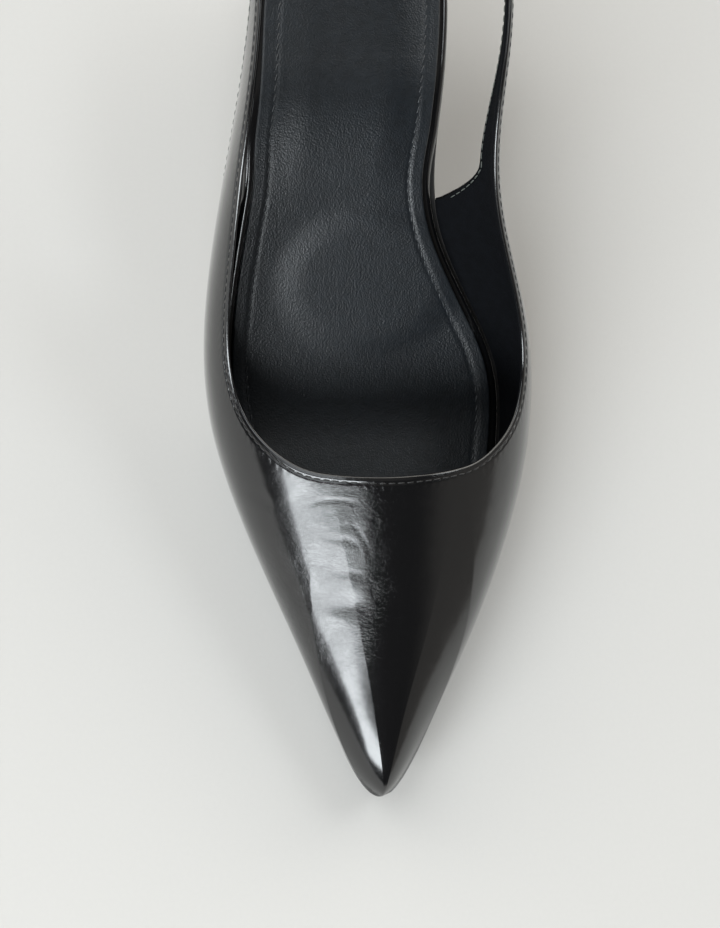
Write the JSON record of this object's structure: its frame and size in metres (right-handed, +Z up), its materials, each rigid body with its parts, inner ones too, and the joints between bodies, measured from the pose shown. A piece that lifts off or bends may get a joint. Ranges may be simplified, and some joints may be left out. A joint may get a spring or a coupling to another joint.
{
  "type": "slingback pump",
  "caption": "Women's slingback pump with a pointed toe, low throat, heel strap and tapered mid heel, standing on its forefoot tread and heel top piece.",
  "frame": {"origin": "middle of the shoe's box on the floor, with the forefoot tread and the heel top piece on z = 0", "axes": "+X towards the inner side of the foot, +Y from the toe towards the heel, +Z up"},
  "size_m": [0.0894, 0.255, 0.1062],
  "materials": {
    "upper_leather": "glossy black leather with a fine crinkle",
    "sole_leather": "smooth black sole leather, low gloss",
    "insole_cover": "glossy black leather wrapped round the insole board",
    "sock_leather": "satin blue-black leather with a pebble grain",
    "heel_cover": "glossy black leather cover",
    "top_piece": "matt black"
  },
  "bodies": {
    "root": {"upper": "upper_leather", "outsole": "sole_leather", "insole": "insole_cover", "sock": "sock_leather", "heel": "heel_cover", "heel_top_piece": "top_piece"}
  },
  "joints": []
}
